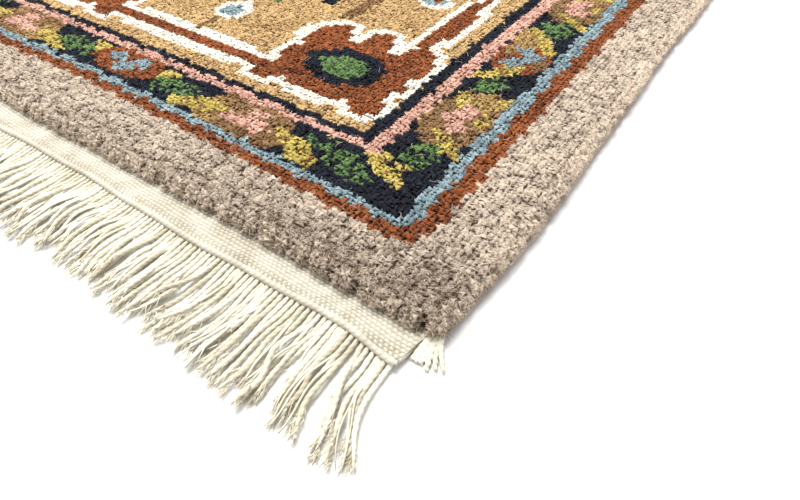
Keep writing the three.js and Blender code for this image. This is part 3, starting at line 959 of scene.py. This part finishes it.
# Twined row: two cotton yarns twisted round each other and round the warp ends, a raised cord
# along the band's edge. The warp ends come out below it as the fringe.
strands_per_end = 184
rings = 4 * strands_per_end
for end_name, facing, phase in ENDS:
    points, triangles = tube_shape(rings, 8)
    angle = np.arctan2(points[:, 1], points[:, 0])
    proud = np.array([0.0, 0.8, 1.0, 0.8])[np.round(points[:, 2] * rings).astype(int) % 4]
    full = closing(points[:, 2], 0.003, 0.3)
    x = (2 * points[:, 2] - 1) * kilim_half_outer + 0.0026 * np.sin(angle) * full
    thick = 0.94 + 0.06 * proud + 0.05 * wave(x, 0.017, phase) + 0.04 * wave(x, 0.0062, 1.0)
    y = twine_middle(x, phase) - 0.0007 + 0.50 * twine_width * thick * full * np.cos(angle)
    z = twine_height_at(x, phase) + 0.46 * twine_height * thick * full * np.sin(angle)
    laid = turned(np.stack([x, -y, z], 1), facing)
    # Painted shade: the tone is lighter on each twist's lump and darker between the twists.
    parts = [(laid[None], triangles, 0.25 + 0.25 * proud, False)]
    twine = joined("twined_row_" + end_name, parts, kilim_cotton)

# Fringe: the warp ends, each a pair of cotton plies twisted together. They droop from the twined
# row to the floor, draw together in loose bunches, cross a little, and fray open at their cut tips.
strand_steps = 34
strand_turns = 7.0
strand_radius = 0.00152
loose_plies = 120
root_reach = kilim_half_outer - 0.0026
corner_fan, corner_fan_start = 0.011, kilim_half_outer - 0.040
overall_half = 0.498
fall_share = 0.27
off_floor = 0.0001
strand_numbers = np.arange(strands_per_end)


def scatter(number, channel):
    """A fixed value from -1 to 1 for each number of a channel, in no pattern."""
    spread = np.sin(number * 12.9898 + channel * 78.233) * 43758.5453
    return 2 * (spread - np.floor(spread)) - 1


def strand_route(number, share, phase, drawn, level):
    """The middle of a fringe strand at a share of its length, for the front end."""
    root_x = root_reach * (2 * number / (strands_per_end - 1) - 1)
    tip_wander = 0.003 * wave(root_x, 0.230, phase) + 0.0065 * scatter(number, phase) - 0.0050
    tip_out = np.minimum(overall_half, overall_half - 0.003 + tip_wander)
    sway = 0.004 * wave(root_x, 0.190, phase) + 0.0011 * wave(root_x, 0.071, 2 * phase)
    fan = np.clip((np.abs(root_x) - corner_fan_start) / (root_reach - corner_fan_start), 0, 1)
    fan = corner_fan * eased(fan) * np.sign(root_x)
    x = root_x + sway * np.sin(1.35 * np.pi * share) * share + fan * share ** 1.5
    x = x + drawn * share ** 1.5 * (3 - share) / 2
    middle = twine_middle(root_x, phase)
    y = middle + (tip_out - middle) * share
    drop = np.clip(1 - share / fall_share, 0, 1)
    z = strand_radius * 0.9 + (twine_height_at(root_x, phase) - 0.0012 - strand_radius) * drop ** 1.3
    z = z + level * np.clip((share - 0.18) / 0.3, 0, 1) * 1.25 * strand_radius
    return x, y, z


def strand_lay(spin):
    """How far each strand's tip is drawn aside, to its bunch or across its neighbours, and how high
    it rides over them.
    """
    pitch, crossing_share = 0.0034, 0.22
    bunch_starts = np.cumsum(spin.integers(5, 10, strands_per_end))
    bunch = np.searchsorted(bunch_starts, strand_numbers, side="right")
    centre = np.array([strand_numbers[bunch == b].mean() for b in bunch])
    drawn = (centre - strand_numbers) * pitch * spin.uniform(-0.20, 0.34, strands_per_end)
    crossing = spin.uniform(0, 1, strands_per_end) < crossing_share
    across = spin.choice((-1, 1), strands_per_end) * spin.uniform(0.002, 0.009, strands_per_end)
    return np.where(crossing, across, drawn), np.where(crossing, 1.9, (strand_numbers % 2) * 1.0)


def twisted_strands(spin, phase, drawn, level):
    """The strands, each a twisted pair of plies that opens and thins at its cut tip."""
    points, triangles = tube_shape(strand_steps, 6)
    share = points[:, 2]
    angle = np.arctan2(points[:, 1], points[:, 0]) + np.pi / 6
    groove = np.abs(np.cos(angle)) < 0.3
    x, y, z = strand_route(strand_numbers[:, None], share[None], phase, drawn[:, None], level[:, None])
    bends = spin.normal(0, 1, (3, strands_per_end, 1))
    x = x + 0.0010 * share * (bends[0] * np.sin(6.0 * share + bends[2]) + bends[1] * np.sin(11 * share))
    untwist = np.clip((share - 0.76) / 0.24, 0, 1)
    turns = 2 * np.pi * strand_turns * share + 2 * np.pi * spin.uniform(0, 1, (strands_per_end, 1))
    lobe = strand_radius * np.where(groove, 0.84, 1.0) * (1 + 0.1 * untwist - 0.75 * untwist ** 2)
    lobe = lobe * (1 + 0.08 * np.sin(17 * share + 5 * bends[2]) * share)
    lobe = lobe * (1 + 0.05 * spin.normal(0, 1, (strands_per_end, 1)))
    lobe = lobe * (0.86 + 0.14 * np.clip(share / 0.1, 0, 1))
    z = np.maximum(z + 0.92 * lobe * np.sin(angle + turns), off_floor)
    laid = np.stack([x + lobe * np.cos(angle + turns), -y, z], 2)
    # Painted shade: the groove between the two plies is darker.
    tone = np.clip(spin.normal(0.66, 0.13, (strands_per_end, 1)) - 0.24 * groove, 0, 1)
    return laid, triangles, tone, False


def frayed_fibres(spin, phase, drawn, level):
    """The roots and ways of the fibres that stand off the strands, most of them at the cut tips."""
    per_strand, per_tip, past_the_end = 38, 28, 0.002
    who = np.repeat(strand_numbers, per_strand)
    at_tip = np.tile(np.arange(per_strand) < per_tip, strands_per_end)
    where = np.where(at_tip, spin.uniform(0.76, 0.98, len(who)), spin.uniform(0.1, 0.8, len(who)))
    x, y, z = strand_route(who, where, phase, drawn[who], level[who])
    roots = np.stack([x, -y, z], 1) + spin.normal(0, 0.0007, (len(who), 3))
    roots[:, 2] = np.maximum(roots[:, 2], 0.0004)
    reach = np.where(at_tip, spin.uniform(0.004, 0.0105, len(who)), spin.uniform(0.002, 0.006, len(who)))
    fan = spin.normal(0, np.where(at_tip, 0.30, 0.45), len(who))
    ways = np.stack([reach * np.sin(fan), -reach * np.cos(fan), -0.5 * z * at_tip], 1)
    ways[:, 1] = np.maximum(ways[:, 1], -(overall_half + past_the_end) - roots[:, 1])
    return roots, ways


def loose_ends(spin, phase):
    """Single plies that have come out of their strands and wander between them."""
    points, triangles = tube_shape(14, 3)
    share = points[:, 2]
    number = np.sort(spin.uniform(1, strands_per_end - 2, loose_plies))[:, None]
    drawn = spin.normal(0, 0.0045, (loose_plies, 1))
    level = spin.uniform(0.8, 1.7, (loose_plies, 1))
    x, y, z = strand_route(number, share[None], phase, drawn, level)
    x = x + 0.0012 * share * np.sin(9 * share + 6 * number)
    thin = 0.0010 * (1 - 0.6 * share ** 4) * spin.uniform(0.7, 1.15, (loose_plies, 1))
    z = np.maximum(z + thin * points[:, 1], off_floor)
    laid = np.stack([x + thin * points[:, 0], -y, z], 2)
    return laid, triangles, spin.normal(0.7, 0.12, loose_plies), False


for end_name, facing, phase in ENDS:
    spin = np.random.default_rng(11 if facing > 0 else 12)
    drawn, level = strand_lay(spin)
    strands = twisted_strands(spin, phase, drawn, level)
    hair_root, hair_way = frayed_fibres(spin, phase, drawn, level)
    plies = loose_ends(spin, phase)
    # Painted shade: the frayed fibres are darker than the strands on the whole.
    hair_tone = spin.uniform(0.0, 0.8, len(hair_root))
    frayed = fibres(hair_root, hair_way, width=0.00030, tone=hair_tone)
    parts = [(turned(points, facing), *others) for points, *others in (strands, plies, frayed)]
    yarn = joined("fringe_" + end_name + "_yarn", parts, fringe_cotton)
    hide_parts("fringe_" + end_name)

# Corner tassels: the edge warps' own loose ends, which come out from under each corner of the
# pile as a short fan of plied cotton.
tassel_turn, yarn_turn = math.radians(-74), math.radians(6.5)
tassel_yarns, tassel_length = 6, 0.0190
ply_radius, ply_offset = 0.0013, 0.0005
side_share = math.cos(tassel_turn) ** 2
foot_in = foot_inset * (1 - side_share) + (selvedge_width + piece_gap) * side_share
base_reach = corner_radius - foot_in + piece_gap
base_x = half_width - corner_radius + base_reach * math.cos(tassel_turn)
base_y = half_length - corner_radius - base_reach * math.sin(tassel_turn)
points, triangles = tube_shape(14, 5)
share = points[:, 2]
plies = []
for number in range(tassel_yarns):
    place = number - (tassel_yarns - 1) / 2
    heading = tassel_turn + yarn_turn * place
    length = tassel_length * (0.94 + 0.08 * float(scatter(number, 5)))
    bow = 0.001 * np.sin(2.4 * share + number)
    x = base_x + 0.0012 * place + length * share * math.cos(heading) + bow * share
    y = base_y - length * share * math.sin(heading)
    z = 0.0013 + 0.0012 * (1 - share) ** 2 + 0.0008 * (number % 2) * (1 - share)
    radius = ply_radius * (1 - 0.4 * np.clip((share - 0.8) / 0.2, 0, 1))
    for ply in (0, math.pi):
        turns = 2 * np.pi * share * 2.6 + ply + number
        ply_x = x + ply_offset * np.cos(turns) + radius * points[:, 0]
        ply_z = z + ply_offset * np.sin(turns) + radius * points[:, 1]
        plies.append(np.stack([ply_x, -y, np.maximum(ply_z, off_floor)], 1))
for end_name, facing, phase in ENDS:
    for side in (1, -1):
        laid = turned(np.array(plies) * (side, 1, 1), facing)
        wound = triangles if side > 0 else triangles[:, ::-1]
        node = "tassel_" + end_name + ("_right" if side * facing > 0 else "_left")
        parts = [(laid, wound, np.full(len(plies), 0.74), False)]
        tassel = joined(node + "_yarn", parts, fringe_cotton)
        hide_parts(node)
